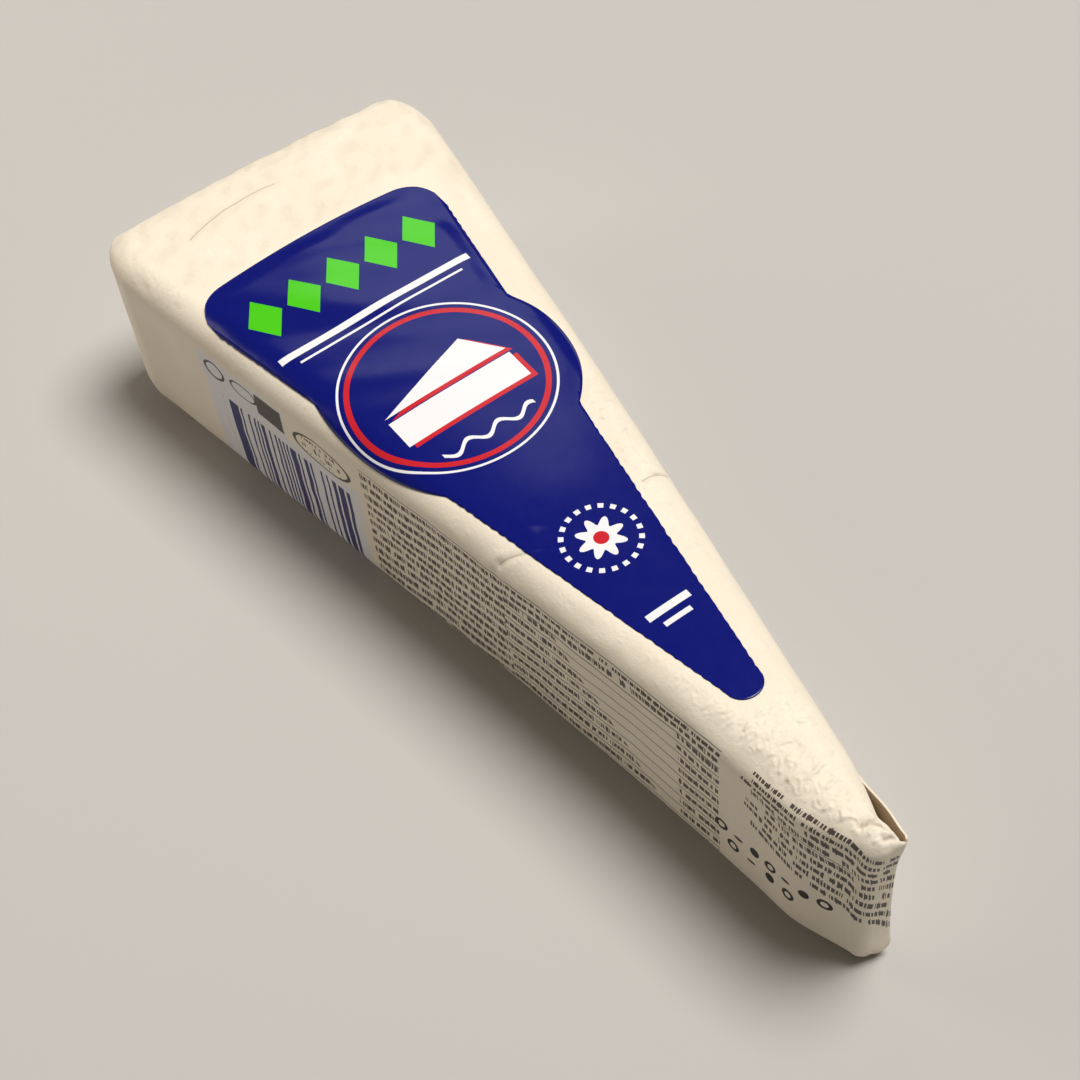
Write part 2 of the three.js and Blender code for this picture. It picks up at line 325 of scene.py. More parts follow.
def feather_at(point, turn, seed):
    """Short crinkles that run across the direction of turn, as ridges with soft flanks."""
    turned = Matrix.Rotation(turn, 3, "Z") @ point
    stretched = Vector((turned.x / FEATHER_WIDTH, turned.y / FEATHER_LENGTH, turned.z / FEATHER_LENGTH))
    return 1 - 2 * abs(noise.noise(stretched + Vector((seed, 0, seed))))


DIMPLE_TURN = 0.6
DIMPLE_PITCH = 4.2
DIMPLE_LENGTH, DIMPLE_WIDTH = 3.2, 2.8
DIMPLE_SEED = 8.4
DIMPLE_BREAK = (-0.3, 0.4)
DIMPLE_DEPTH = 0.22
DIMPLE_FADE = (-62, -40)  # along the pack, where the dimples run out


def dimple_at(point):
    """Shallow dimples in broken rows, left by the mat that the cheese drained on."""
    turned = Matrix.Rotation(DIMPLE_TURN, 3, "Z") @ point
    row_place = (turned.y + uneven(point, DIMPLE_SWAY)) / DIMPLE_PITCH
    row = 0.5 + 0.5 * math.sin(2 * math.pi * row_place)
    broken = noise.noise(Vector((turned.x / DIMPLE_LENGTH, turned.y / DIMPLE_WIDTH, DIMPLE_SEED)))
    return row * ease(*DIMPLE_BREAK, broken)


# How far up the paper faces decides where it counts as top, flat top, under the label or rounded edge.
TOP_FACING = (0.35, 0.8)
FLAT_FACING = (0.72, 0.97)
LABEL_FACING = 0.2
EDGE_FACING, EDGE_END_FACING = (0.25, 0.6), (0.75, 0.97)
EDGE_START = (-10, 25)  # along the pack, where its rounded edges turn lumpy
EDGE_LEAST = 0.2
CRINKLED_TIP = (38, 62)
CRINKLED_SIDE, CRINKLED_SIDE_START = (6, 13), (-40, 0)  # across to the far edge, and along it
CRINKLE_LEAST = 0.2
FEATHER_TURN = (-0.25, 0.25)
# Painted shade in the dimples and in the valleys of the crinkles
DIMPLE_SHADE, FEATHER_SHADE = 0.2, 0.24


def paper_relief(point, normal):
    """How far the paper stands off the plain wedge, how much shade is painted in its hollows and how
    crinkled it is.
    """
    x, y, _ = point
    clear = clear_of_label(x, y) if normal.z > LABEL_FACING else 1
    top = ease(*TOP_FACING, normal.z) * clear
    dimple = dimple_at(point) * top * (1 - ease(*DIMPLE_FADE, x))
    lift = uneven(point, SHEET_WAVES) + (1 - abs(normal.z)) * uneven(point, SIDE_WAVES)
    lift += top * uneven(point, TOP_WAVES) - DIMPLE_DEPTH * dimple

    far_edge = ease(*CRINKLED_SIDE, y) * ease(*CRINKLED_SIDE_START, x)
    most = max(ease(*CRINKLED_TIP, x), far_edge)
    crinkled = ease(*FLAT_FACING, normal.z) * clear * blend(CRINKLE_LEAST, 1, most)
    mix = ease(*FEATHER_TURN, uneven(point, FEATHER_MIX))
    feather = blend(*(feather_at(point, *way) for way in FEATHERS), mix)
    lift += crinkled * (FEATHER_HEIGHT * feather + uneven(point, CRINKLE_LUMPS))

    edge = ease(*EDGE_FACING, normal.z) * (1 - ease(*EDGE_END_FACING, normal.z))
    edge *= blend(EDGE_LEAST, 1, ease(*EDGE_START, x)) * clear
    lift += edge * uneven(point, EDGE_LUMPS)
    # The painted shade: darker in creases, in dimples and in the valleys of the crinkles
    sink, painted_shade = crease_at(point)
    painted_shade = max(painted_shade, DIMPLE_SHADE * dimple, FEATHER_SHADE * crinkled * max(0, -feather))
    return lift - sink, painted_shade, crinkled


def divided_box(counts):
    made = bmesh.new()
    bmesh.ops.create_cube(made, size=1)
    for axis, count in enumerate(counts):
        along = [e for e in made.edges if abs((e.verts[0].co - e.verts[1].co)[axis]) > 0.5]
        bmesh.ops.subdivide_edges(made, edges=along, cuts=count - 1, use_grid_fill=True)
    return made


def finish_piece(made, name, material):
    """Scales a mesh from millimetres and makes it a piece that rides with the pack."""
    bmesh.ops.scale(made, vec=(MM, MM, MM), verts=made.verts)
    mesh = bpy.data.meshes.new(name)
    made.to_mesh(mesh)
    made.free()
    mesh.materials.append(material)
    mesh.shade_smooth()
    piece = bpy.data.objects.new(name, mesh)
    bpy.context.scene.collection.objects.link(piece)
    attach(piece, "root")
    return piece


# Shader nodes are placed by kind, with their settings and with values or links for their inputs.
def node(tree, kind, inputs=None, **settings):
    made = tree.nodes.new(kind)
    for name, value in settings.items():
        setattr(made, name, value)
    for socket, value in (inputs or {}).items():
        if isinstance(value, bpy.types.NodeSocket):
            tree.links.new(value, made.inputs[socket])
        else:
            made.inputs[socket].default_value = value
    return made


def reckon(tree, operation, *values):
    return node(tree, "ShaderNodeMath", dict(enumerate(values)), operation=operation).outputs[0]


def most_of(tree, *masks):
    found = masks[0]
    for mask in masks[1:]:
        found = reckon(tree, "MAXIMUM", found, mask)
    return found


def all_of(tree, *masks):
    found = masks[0]
    for mask in masks[1:]:
        found = reckon(tree, "MULTIPLY", found, mask)
    return found


def off(tree, value, middle):
    """How far a value is from the middle one, either way."""
    return reckon(tree, "ABSOLUTE", reckon(tree, "SUBTRACT", value, middle))


def reach_of(tree, along, up):
    """The length of a line by how far it goes along and up."""
    squares = reckon(tree, "ADD", reckon(tree, "POWER", along, 2), reckon(tree, "POWER", up, 2))
    return reckon(tree, "SQRT", squares)


def random_draw(tree, number):
    return node(tree, "ShaderNodeTexWhiteNoise", {"W": number}, noise_dimensions="1D").outputs["Value"]


def split_up(tree, vector):
    return node(tree, "ShaderNodeSeparateXYZ", {"Vector": vector}).outputs


def attribute(tree, name, output):
    return node(tree, "ShaderNodeAttribute", attribute_name=name).outputs[output]


def object_place(tree):
    return node(tree, "ShaderNodeTexCoord").outputs["Object"]


def ranged(tree, value, start, end, low=0.0, high=1.0):
    inputs = {"Value": value, "From Min": start, "From Max": end, "To Min": low, "To Max": high}
    return node(tree, "ShaderNodeMapRange", inputs).outputs[0]


def bumped(tree, height, strength, distance):
    inputs = {"Strength": strength, "Distance": distance, "Height": height}
    return node(tree, "ShaderNodeBump", inputs).outputs[0]


MIX_MASK, MIX_UNDER, MIX_OVER, MIX_RESULT = 0, 6, 7, 2  # the colour sockets of a Mix node


def tinted(tree, mask, under, over):
    inputs = {MIX_MASK: mask, MIX_UNDER: under, MIX_OVER: over}
    return node(tree, "ShaderNodeMix", inputs, data_type="RGBA").outputs[MIX_RESULT]


def cloud(tree, place, scale, detail, **settings):
    inputs = {"Vector": place, "Scale": scale, "Detail": detail, "Roughness": 0.6}
    return node(tree, "ShaderNodeTexNoise", inputs, **settings).outputs[0]


def shader_group(name, inputs, outputs, vectors=()):
    """An empty node group, and the sockets that its inputs come from and its outputs go to."""
    tree = bpy.data.node_groups.new(name, "ShaderNodeTree")
    for way, labels in (("INPUT", inputs), ("OUTPUT", outputs)):
        for label in labels:
            kind = "NodeSocketVector" if label in vectors else "NodeSocketFloat"
            tree.interface.new_socket(label, in_out=way, socket_type=kind)
    return tree, tree.nodes.new("NodeGroupInput").outputs, tree.nodes.new("NodeGroupOutput").inputs


def placed(tree, group, *values):
    return node(tree, "ShaderNodeGroup", dict(enumerate(values)), node_tree=group).outputs


# A printed field with straight edges
field_group, given, result = shader_group(
    "printed field", ("Along", "Up", "Start", "End", "Bottom", "Top"), ("Mask",)
)
inside = all_of(
    field_group,
    reckon(field_group, "GREATER_THAN", given["Along"], given["Start"]),
    reckon(field_group, "LESS_THAN", given["Along"], given["End"]),
    reckon(field_group, "GREATER_THAN", given["Up"], given["Bottom"]),
    reckon(field_group, "LESS_THAN", given["Up"], given["Top"]),
)
field_group.links.new(inside, result["Mask"])


def field(tree, *values):
    return placed(tree, field_group, *values)["Mask"]


# A printed oval, as a line round it and as a filled disc
oval_group, given, result = shader_group(
    "printed oval",
    ("Along", "Up", "Middle", "Level", "Half length", "Half height", "Line"),
    ("Ring", "Disc"),
)
off_along = off(oval_group, given["Along"], given["Middle"])
off_up = off(oval_group, given["Up"], given["Level"])
radius = reach_of(
    oval_group,
    reckon(oval_group, "DIVIDE", off_along, given["Half length"]),
    reckon(oval_group, "DIVIDE", off_up, given["Half height"]),
)
line_share = reckon(oval_group, "DIVIDE", given["Line"], given["Half height"])
on_line = reckon(oval_group, "LESS_THAN", off(oval_group, radius, 1), line_share)
oval_group.links.new(on_line, result["Ring"])
oval_group.links.new(reckon(oval_group, "LESS_THAN", radius, 1), result["Disc"])


def oval(tree, *values):
    return placed(tree, oval_group, *values)


# Rows of small print drawn as marks of upright strokes, some of them tall, with gaps between words
ROW_OFFSET = 18.13  # strokes by which each row starts later than the one below
ROW_LEVELS, ROW_MIDDLE = 8, 3.5
STROKE_HALF, TALL_HALF = 2, 3  # in levels
TALL_SHARE = 0.12
WORDS_PER_STROKE, WORD_GAP = 0.052, 0.11
WORD_SHIFT_RATE = 0.09
rows_group, given, result = shader_group(
    "rows of small print", ("Along", "Up", "Pitch", "Stroke", "Seed", "Weight", "Strokes"), ("Ink",)
)
row_place = reckon(rows_group, "DIVIDE", given["Up"], given["Pitch"])
row = reckon(rows_group, "FLOOR", row_place)
in_row = reckon(rows_group, "FRACT", row_place)
row_start = reckon(rows_group, "MULTIPLY", reckon(rows_group, "ADD", row, given["Seed"]), ROW_OFFSET)
in_strokes = reckon(rows_group, "DIVIDE", given["Along"], given["Stroke"])
stroke = reckon(rows_group, "FLOOR", reckon(rows_group, "ADD", in_strokes, row_start))
shift_place = reckon(rows_group, "MULTIPLY", stroke, WORD_SHIFT_RATE)
shift_inputs = {"W": shift_place, "Scale": 1.0, "Detail": 0.0}
word_shift = node(rows_group, "ShaderNodeTexNoise", shift_inputs, noise_dimensions="1D").outputs[0]
word_place = reckon(rows_group, "MULTIPLY_ADD", stroke, WORDS_PER_STROKE, word_shift)
word = reckon(rows_group, "GREATER_THAN", reckon(rows_group, "FRACT", word_place), WORD_GAP)
mark_place = reckon(rows_group, "DIVIDE", reckon(rows_group, "ADD", stroke, 0.5), given["Strokes"])
last_stroke = reckon(rows_group, "SUBTRACT", 1, reckon(rows_group, "DIVIDE", 1, given["Strokes"]))
mark = reckon(rows_group, "LESS_THAN", reckon(rows_group, "FRACT", mark_place), last_stroke)
level = reckon(rows_group, "FLOOR", reckon(rows_group, "MULTIPLY", in_row, ROW_LEVELS))
off_middle = off(rows_group, level, ROW_MIDDLE)
column = node(rows_group, "ShaderNodeCombineXYZ", {"X": stroke, "Y": row}).outputs[0]
column_noise = node(rows_group, "ShaderNodeTexWhiteNoise", {"Vector": column}, noise_dimensions="2D")
draw = column_noise.outputs["Value"]
drawn = reckon(rows_group, "LESS_THAN", draw, given["Weight"])
tall = reckon(rows_group, "LESS_THAN", draw, TALL_SHARE)
short_stroke = all_of(rows_group, drawn, reckon(rows_group, "LESS_THAN", off_middle, STROKE_HALF))
tall_stroke = all_of(rows_group, tall, reckon(rows_group, "LESS_THAN", off_middle, TALL_HALF))
ink = all_of(rows_group, word, mark, most_of(rows_group, short_stroke, tall_stroke))
rows_group.links.new(ink, result["Ink"])


def rows(tree, *values):
    return placed(tree, rows_group, *values)["Ink"]


# Paper grain: soft clouds of colour, and the height of its fibres and fine crumple
FIBRE_HEIGHT = 0.22
CRUMPLE_LEAST = 0.2
CRINKLE_STROKES = 2.6
CRINKLE_STRETCH = (1, 0.32, 0.5)
CRINKLE_TURNS = (-0.9, 0.4)
CRINKLE_TURN_RANGE = (0.44, 0.56)  # of the cloud that picks between the two
RIDGES = {"noise_type": "RIDGED_MULTIFRACTAL", "normalize": True}
grain_group, given, result = shader_group(
    "paper grain", ("Place", "Crinkle"), ("Cloud", "Height"), vectors=("Place",)
)
grain_group.links.new(cloud(grain_group, given["Place"], scale=0.09, detail=4.0), result["Cloud"])
fibre = cloud(grain_group, given["Place"], scale=4.5, detail=3.0)
crumple = cloud(grain_group, given["Place"], scale=1.0, detail=4.0, **RIDGES)
crumple_share = reckon(grain_group, "MULTIPLY_ADD", given["Crinkle"], 1 - CRUMPLE_LEAST, CRUMPLE_LEAST)
crumple = reckon(grain_group, "MULTIPLY", crumple, crumple_share)
height = reckon(grain_group, "MULTIPLY_ADD", fibre, FIBRE_HEIGHT, crumple)


def fine_crinkles(turn):
    inputs = {"Vector": given["Place"], "Rotation": (0, 0, turn), "Scale": CRINKLE_STRETCH}
    stretched = node(grain_group, "ShaderNodeMapping", inputs).outputs[0]
    return cloud(grain_group, stretched, scale=0.9, detail=3.0, **RIDGES)


turn_cloud = cloud(grain_group, given["Place"], scale=0.25, detail=1.0)
turn_mix = ranged(grain_group, turn_cloud, *CRINKLE_TURN_RANGE)
one_way, other_way = (fine_crinkles(turn) for turn in CRINKLE_TURNS)
between_ways = reckon(grain_group, "SUBTRACT", other_way, one_way)
strokes = reckon(grain_group, "MULTIPLY_ADD", turn_mix, between_ways, one_way)
stroke_height = reckon(grain_group, "MULTIPLY", given["Crinkle"], CRINKLE_STROKES)
strokes = reckon(grain_group, "MULTIPLY", strokes, stroke_height)
grain_group.links.new(reckon(grain_group, "ADD", height, strokes), result["Height"])

PAPER_LIGHT = (0.91, 0.835, 0.695, 1)
PAPER_WARM = (0.87, 0.78, 0.63, 1)
# The colour of the painted shade in creases, dimples and crinkle valleys, and how much of it is painted
PAINTED_CREASE_SHADE = (0.42, 0.34, 0.25, 1)
CREASE_SHADE = 0.75
WARM_RANGE = (0.3, 0.72)  # of the grain's clouds, from light to warm


def paper_grain(tree):
    """The place on the pack in millimetres, and the clouds and height of the grain there."""
    inputs = {"Vector": object_place(tree), "Scale": (1 / MM,) * 3}
    place = node(tree, "ShaderNodeMapping", inputs).outputs[0]
    return place, placed(tree, grain_group, place, attribute(tree, "crinkle", "Fac"))


def paper_colour(tree, grain):
    colour = tinted(tree, ranged(tree, grain["Cloud"], *WARM_RANGE), PAPER_LIGHT, PAPER_WARM)
    # Painted shade in creases, dimples and crinkle valleys, from the crease attribute
    shade = reckon(tree, "MULTIPLY", attribute(tree, "crease", "Fac"), CREASE_SHADE)
    return tinted(tree, shade, colour, PAINTED_CREASE_SHADE)


def finish_surface(tree, inputs):
    surface = node(tree, "ShaderNodeBsdfPrincipled", inputs)
    node(tree, "ShaderNodeOutputMaterial", {"Surface": surface.outputs[0]})


def paper_surface(tree, colour, grain):
    bump = bumped(tree, grain["Height"], strength=0.6, distance=0.0004)
    finish = {"Base Color": colour, "Roughness": 0.58, "Specular IOR Level": 0.32, "Normal": bump}
    finish_surface(tree, finish)


def new_material(name):
    made = bpy.data.materials.new(name)
    made.use_nodes = True
    made.node_tree.nodes.clear()
    return made, made.node_tree


def plain_paper_material():
    made, tree = new_material("waxed paper")
    _, grain = paper_grain(tree)
    paper_surface(tree, paper_colour(tree, grain), grain)
    return made


# Three creases on the top also get fine lines of painted shade. The one behind the label is an arc, with
# its reach across the pack, and the two beside the label's narrow end are straight: where each starts, its
# slant and its reach.
ARC_CREASE = Vector((-40.1, -4.8))
ARC_CREASE_RADIUS = 31.6
ARC_CREASE_SPAN = (-17.6, -0.3)
EDGE_CREASES = ((22.56, 0.62, -13.8, -10.9), (15.8, 0, 9.9, 14.4))
CREASE_LINE = 0.13
# how strongly the painted shade is laid along these lines
CREASE_LINE_SHADE = 0.55


def crease_shade_lines(tree, x, y, z):
    arc = oval(tree, x, y, *ARC_CREASE, ARC_CREASE_RADIUS, ARC_CREASE_RADIUS, CREASE_LINE)["Ring"]
    shade_lines = all_of(tree, arc, field(tree, x, y, RIND_X, ARC_CREASE.x, *ARC_CREASE_SPAN))
    for start, slant, *span in EDGE_CREASES:
        slanted = reckon(tree, "MULTIPLY_ADD", y, -slant, x)
        straight = field(tree, slanted, y, start - CREASE_LINE, start + CREASE_LINE, *span)
        shade_lines = most_of(tree, shade_lines, straight)
    on_top = reckon(tree, "GREATER_THAN", z, HEIGHT / 2)
    return reckon(tree, "MULTIPLY", all_of(tree, shade_lines, on_top), CREASE_LINE_SHADE)


# Print is placed along the pack and above the table. A field is given by its start, end, bottom and top,
# and an oval by its middle, level, half length, half height and half line.
PANEL = (-52.6, -16.8, 1.0, 22.6)
MARKS_PANEL = (-53.6, -33.0, 22.6, 28.4)
BARS = (-48.8, -19.0, 1.5, 20.6)
BAR_WIDTH = 0.46
BARE_SHARE = 0.46
PANEL_WHITE = (0.80, 0.79, 0.80, 1)
BAR_NAVY = (0.045, 0.045, 0.16, 1)


def bar_panel(tree, x, z):
    """The white panel, and the bars on it, of widths drawn at random."""
    panel = most_of(tree, field(tree, x, z, *PANEL), field(tree, x, z, *MARKS_PANEL))
    draw = random_draw(tree, reckon(tree, "FLOOR", reckon(tree, "DIVIDE", x, BAR_WIDTH)))
    bars = all_of(tree, reckon(tree, "GREATER_THAN", draw, BARE_SHARE), field(tree, x, z, *BARS))
    return panel, bars


# Rows of print are given by their pitch, stroke, seed, share of strokes drawn and strokes to a mark.
RING_MARK = (-49.6, 25.6, 2.3, 1.7, 0.22)
OVAL_MARK = (-42.4, 26.0, 3.0, 1.5, 0.14)
BLOCK_MARK = (-39.4, -33.2, 23.4, 28.0)
LONG_OVAL = (-24.2, 25.0, 6.1, 2.4, 0.16)
LONG_OVAL_FIELD = (-28.4, -20.0, 23.4, 26.6)
LONG_OVAL_ROWS = (1.6, 0.24, 3.0, 0.5, 3.0)


def small_marks(tree, x, z):
    """Marks above the bars: a ring, an oval, a dark block and a long oval with rows in it."""
    rings = [oval(tree, x, z, *mark)["Ring"] for mark in (RING_MARK, OVAL_MARK, LONG_OVAL)]
    inner = all_of(tree, field(tree, x, z, *LONG_OVAL_FIELD), rows(tree, x, z, *LONG_OVAL_ROWS))
    return most_of(tree, *rings, field(tree, x, z, *BLOCK_MARK), inner)


TEXT_START, TABLE_START, TABLE_END = -15.0, 15.0, 57.0
TEXT_BASE = 1.8
ROW_CLIMB = 0.042  # the rows climb to the tip
RULE_BASE, RULE_TOP = 29.4, 29.62
TEXT_TOP = RULE_BASE - 0.3
TEXT_ROWS = (2.2, 0.15, 1.0, 0.92, 8.0)
HEADING_BASE, HEADING_TOP = RULE_BASE - 4.3, RULE_BASE - 0.2
HEADING_ROWS = (2.05, 0.18, 5.0, 0.92, 7.0)
TABLE_TOP, HEADING_RULE_TOP = RULE_BASE - 4.9, RULE_BASE - 4.65
TABLE_PITCH = 2.8
TABLE_ROWS = (2.0, 0.15, 9.0, 0.94, 8.0)
TABLE_RULE_SHARE = 0.07
TABLE_ROW_BASE = 0.5  # above its rule
TABLE_ROW_RANGE = (0.01, 1.99)  # keeps one row of strokes to a row of the table
TABLE_WORDS_END, TABLE_WORDS_SLANT = 48, 0.95
TABLE_FIGURES_START = TABLE_END - 8


def text_and_table(tree, x, z):
    """A block of text and, past it, a heading over a ruled table, all under one rule."""
    climb = reckon(tree, "MULTIPLY_ADD", reckon(tree, "SUBTRACT", x, TEXT_START), -ROW_CLIMB, z)
    text = all_of(
        tree,
        field(tree, x, climb, TEXT_START, TABLE_START, TEXT_BASE, TEXT_TOP),
        rows(tree, x, reckon(tree, "SUBTRACT", climb, TEXT_TOP), *TEXT_ROWS),
    )
    heading = all_of(
        tree,
        field(tree, x, climb, TABLE_START, TABLE_END, HEADING_BASE, HEADING_TOP),
        rows(tree, x, reckon(tree, "SUBTRACT", climb, HEADING_TOP), *HEADING_ROWS),
    )
    rule = field(tree, x, climb, TEXT_START, TABLE_END, RULE_BASE, RULE_TOP)
    heading_rule = field(tree, x, climb, TABLE_START, TABLE_END, TABLE_TOP, HEADING_RULE_TOP)
    in_table = field(tree, x, climb, TABLE_START, TABLE_END, TEXT_BASE, TABLE_TOP)
    table_place = reckon(tree, "DIVIDE", climb, TABLE_PITCH)
    in_row = reckon(tree, "FRACT", table_place)
    table_rule = reckon(tree, "LESS_THAN", in_row, TABLE_RULE_SHARE)
    above_rule = reckon(tree, "MULTIPLY_ADD", in_row, TABLE_PITCH, -TABLE_ROW_BASE)
    above_rule = reckon(tree, "MAXIMUM", above_rule, TABLE_ROW_RANGE[0])
    above_rule = reckon(tree, "MINIMUM", above_rule, TABLE_ROW_RANGE[1])
    row_place = reckon(tree, "MULTIPLY_ADD", reckon(tree, "FLOOR", table_place), TABLE_ROWS[0], above_rule)
    slanted_end = reckon(tree, "MULTIPLY_ADD", climb, TABLE_WORDS_SLANT, x)
    words = reckon(tree, "LESS_THAN", slanted_end, TABLE_WORDS_END)
    figures = reckon(tree, "GREATER_THAN", x, TABLE_FIGURES_START)
    print_rows = all_of(tree, most_of(tree, words, figures), rows(tree, x, row_place, *TABLE_ROWS))
    table = all_of(tree, in_table, most_of(tree, table_rule, print_rows))
    return most_of(tree, text, rule, heading, heading_rule, table)


TIP_TEXT_START, TIP_TEXT_END = 65.5, 88.0
TIP_TEXT_BASE = 19.1
TIP_TURN = 78.0  # past here the near side turns round the tip
TIP_ROW_FALL, TIP_TURN_FALL = 0.35, 0.84  # on the near side, and as much more round the tip
TIP_ROW_PITCH, TIP_ROW_SPREAD = 1.75, 0.041  # the rows stand further apart towards the tip
TIP_ROW_COUNT, TIP_BOLD_ROW = 9, 6
TIP_ROW_STAGGER = 4.5
TIP_PLAIN_ROWS = (1.0, 0.15, 13.0, 0.84, 7.0)
TIP_BOLD_ROWS = (1.0, 0.2, 14.0, 0.95, 8.0)
TIP_RULE = (TIP_TEXT_START + 1, 79, 4.97, 5.05)  # its bottom and top in rows


def tip_text(tree, x, z):
    """Text round the tip, on rows that fall and spread, with one bold row and a thin rule."""
    past_start = reckon(tree, "SUBTRACT", x, TIP_TEXT_START)
    past_turn = reckon(tree, "MAXIMUM", reckon(tree, "SUBTRACT", x, TIP_TURN), 0)
    above_base = reckon(tree, "SUBTRACT", z, TIP_TEXT_BASE)
    fall = reckon(tree, "MULTIPLY_ADD", past_start, TIP_ROW_FALL, above_base)
    fall = reckon(tree, "MULTIPLY_ADD", past_turn, TIP_TURN_FALL, fall)
    pitch = reckon(tree, "MULTIPLY_ADD", past_start, TIP_ROW_SPREAD, TIP_ROW_PITCH)
    row_place = reckon(tree, "DIVIDE", fall, pitch)
    row = reckon(tree, "FLOOR", row_place)
    from_start = reckon(tree, "MULTIPLY_ADD", random_draw(tree, row), TIP_ROW_STAGGER, x)
    block = field(tree, from_start, row_place, TIP_TEXT_START, TIP_TEXT_END, 0, TIP_ROW_COUNT)
    bold = reckon(tree, "COMPARE", row, TIP_BOLD_ROW, 0.1)
    bold_row = all_of(tree, bold, rows(tree, x, row_place, *TIP_BOLD_ROWS))
    plain = reckon(tree, "SUBTRACT", 1, bold)
    plain_rows = all_of(tree, plain, rows(tree, x, row_place, *TIP_PLAIN_ROWS))
    text = all_of(tree, block, most_of(tree, plain_rows, bold_row))
    return most_of(tree, text, field(tree, x, row_place, *TIP_RULE))


JET_ROWS = ((57.4, 3.05, 7, 13.4), (59.6, 3.5, 4, 10.2))  # first mark, pitch, count and level
JET_SHAPES = ((0.95, "Ring"), (0.35, "Disc"), (1.0, "Disc"))  # half heights of the rings, dashes and dots
JET_HALF_LENGTH, JET_LINE = 0.85, 0.3


def jet_marks(tree, x, z):
    """Two rows of rings, dashes and dots by turns."""
    marks = []
    for first, pitch, count, level in JET_ROWS:
        for step in range(count):
            half_height, shape = JET_SHAPES[step % len(JET_SHAPES)]
            mark = (first + step * pitch, level, JET_HALF_LENGTH, half_height, JET_LINE)
            marks.append(oval(tree, x, z, *mark)[shape])
    return most_of(tree, *marks)


PRINT_INK = (0.045, 0.028, 0.026, 1)
PRINT_STRENGTH = 0.92
JET_INK = (0.03, 0.026, 0.024, 1)
PRINT_SWAY = (1.6, 1.5)  # along and up


def printed_paper_material():
    made, tree = new_material("printed waxed paper")
    place, grain = paper_grain(tree)
    colour = paper_colour(tree, grain)
    split = split_up(tree, place)
    sway_inputs = {"Vector": place, "Scale": 0.11, "Detail": 2.0}
    sway = split_up(tree, node(tree, "ShaderNodeTexNoise", sway_inputs).outputs["Color"])
    further = split_up(tree, attribute(tree, "further on the sheet", "Vector"))

    def on_sheet(axis, sway_axis, most):
        off_middle = reckon(tree, "SUBTRACT", sway[sway_axis], 0.5)
        swayed = reckon(tree, "MULTIPLY_ADD", off_middle, most, split[axis])
        return reckon(tree, "ADD", swayed, further[axis])

    x = on_sheet("X", "X", PRINT_SWAY[0])
    z = on_sheet("Z", "Y", PRINT_SWAY[1])
    near_side = reckon(tree, "LESS_THAN", split["Y"], 0)
    near = most_of(tree, near_side, reckon(tree, "GREATER_THAN", further["X"], 0))
    # painted shade along the fine crease lines on the top
    colour = tinted(tree, crease_shade_lines(tree, split["X"], split["Y"], split["Z"]), colour, PAINTED_CREASE_SHADE)
    panel, bars = bar_panel(tree, x, z)
    colour = tinted(tree, all_of(tree, panel, near), colour, PANEL_WHITE)
    colour = tinted(tree, all_of(tree, bars, near), colour, BAR_NAVY)
    near_ink = all_of(tree, most_of(tree, small_marks(tree, x, z), tip_text(tree, x, z)), near)
    ink = most_of(tree, near_ink, text_and_table(tree, x, z))
    colour = tinted(tree, reckon(tree, "MULTIPLY", ink, PRINT_STRENGTH), colour, PRINT_INK)
    colour = tinted(tree, all_of(tree, jet_marks(tree, x, z), near), colour, JET_INK)
    paper_surface(tree, colour, grain)
    return made


paper = divided_box(PAPER_GRID)
sheet_layer = paper.verts.layers.float_vector.new("further on the sheet")
for corner in paper.verts:
    corner.co, corner[sheet_layer] = wedge_point(corner.co)
paper.normal_update()
# The crease attribute holds painted shade for creases, dimples and crinkle valleys
crease_shade_layer = paper.verts.layers.float.new("crease")
crinkle_layer = paper.verts.layers.float.new("crinkle")
moves = []
for corner in paper.verts:
    lift, corner[crease_shade_layer], corner[crinkle_layer] = paper_relief(corner.co, corner.normal)
    moves.append(lift * corner.normal)
for corner, move in zip(paper.verts, moves):
    corner.co += move
paper.normal_update()
paper_skin = BVHTree.FromBMesh(paper)
wrapping = finish_piece(paper, "wrapping_paper", printed_paper_material())
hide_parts("wrapped_wedge")

# Tip flap
# The end of the sheet, which comes round the tip from the near side and runs back along the far side. It
# stands off the tucked corner of the wedge, so a dark pocket is open to the top.
FLAP_LENGTH = 38
FLAP_THICKNESS = 0.3
FLAP_BASE = 4
FLAP_REAR_TOP = 28.8
FLAP_TIP_TOP = 32.4
FLAP_RISE = (66, 79)  # along the pack, where its top climbs
FLAP_TOP_WAVE, FLAP_TOP_WAVES = 0.12, 9
FLAP_WAVES = ((0.22, 7, 3.3), (0.08, 2.6, 7.1))
FLAP_LOOSE, FLAP_HELD = (0, 0.3), (0.55, 0.75)  # shares of its length between which it waves
FLAP_GRID = (130, 44)


def on_far_side(to_tip, off_side):
    distance = LENGTH - to_tip
    return Vector((RIND_X + distance, half_width(distance) + far_bulge(distance) + off_side, 0))


FLAP_PATH = (
    on_far_side(FLAP_LENGTH, 0.12),
    on_far_side(1.5 * TUCK_LENGTH, 0.15),
    on_far_side(TUCK_LENGTH, 0.1),
    on_far_side(0.5 * TUCK_LENGTH, -0.05),
    on_far_side(TIP_END_RADIUS, 0),
    Vector((RIND_X + LENGTH - 0.9, 2.68, 0)),
    Vector((RIND_X + LENGTH - 0.3, 2.4, 0)),
)


